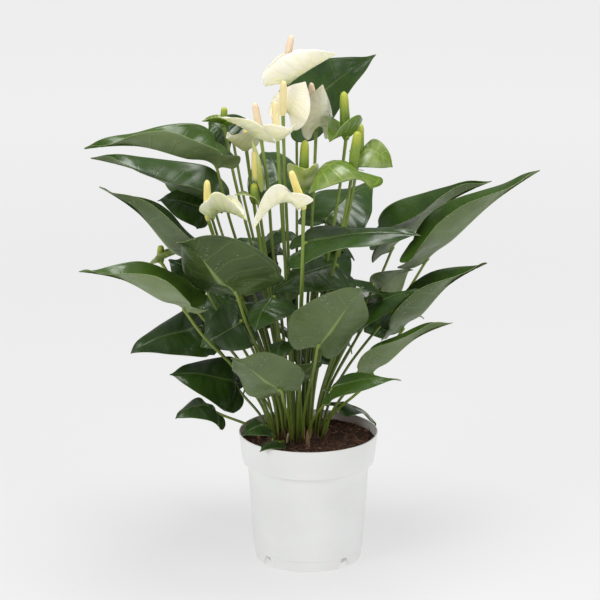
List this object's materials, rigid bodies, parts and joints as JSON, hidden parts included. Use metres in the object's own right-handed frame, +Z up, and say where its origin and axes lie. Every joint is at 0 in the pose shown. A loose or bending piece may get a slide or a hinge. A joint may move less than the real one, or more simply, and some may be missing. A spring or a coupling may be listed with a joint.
{
  "type": "potted white anthurium",
  "caption": "Potted white anthurium: heart-shaped glossy leaves and waxy white spathes with cream spadices, rising from a plain white nursery pot.",
  "frame": {"origin": "middle of the pot's underside, where it rests", "axes": "+Z up the plant, +Y to the back of the plant, +X to the right seen from the front"},
  "size_m": [0.5426, 0.396, 0.6476],
  "materials": {
    "pot_plastic": "satin",
    "potting_mix": "matte",
    "leaf": "gloss",
    "spathe": "satin",
    "old_spathe": "satin",
    "stem": "satin"
  },
  "bodies": {
    "root": {"flower_1_spathe": "spathe", "flower_1_stem": "stem", "flower_2_spathe": "spathe", "flower_2_stem": "stem", "flower_3_spathe": "spathe", "flower_3_stem": "stem", "flower_4_spathe": "spathe", "flower_4_stem": "stem", "flower_5_spathe": "spathe", "flower_5_stem": "stem", "flower_6_spathe": "spathe", "flower_6_stem": "stem", "flower_7_spathe": "spathe", "flower_7_stem": "stem", "flower_8_spathe": "spathe", "flower_8_stem": "stem", "flower_bud": "old_spathe", "leaf_back_1": "leaf", "leaf_back_2": "leaf", "leaf_back_3": "leaf", "leaf_back_4": "leaf", "leaf_back_5": "leaf", "leaf_back_6": "leaf", "leaf_centre_1": "leaf", "leaf_centre_2": "leaf", "leaf_centre_3": "leaf", "leaf_front_1": "leaf", "leaf_front_2": "leaf", "leaf_front_3": "leaf", "leaf_left_1": "leaf", "leaf_left_10": "leaf", "leaf_left_2": "leaf", "leaf_left_3": "leaf", "leaf_left_4": "leaf", "leaf_left_5": "leaf", "leaf_left_6": "leaf", "leaf_left_7": "leaf", "leaf_left_8": "leaf", "leaf_left_9": "leaf", "leaf_right_1": "leaf", "leaf_right_2": "leaf", "leaf_right_3": "leaf", "leaf_right_4": "leaf", "leaf_right_5": "leaf", "leaf_right_6": "leaf", "leaf_right_7": "leaf", "leaf_top_1": "leaf", "leaf_top_2": "leaf", "leaf_top_3": "leaf", "leaf_top_4": "leaf", "old_flower_1": "old_spathe", "old_flower_2": "old_spathe", "old_flower_3": "old_spathe", "old_flower_4": "old_spathe", "pot": "pot_plastic", "soil": "potting_mix", "young_flower_1": "old_spathe", "young_flower_2": "old_spathe", "young_flower_3": "old_spathe"}
  },
  "joints": []
}
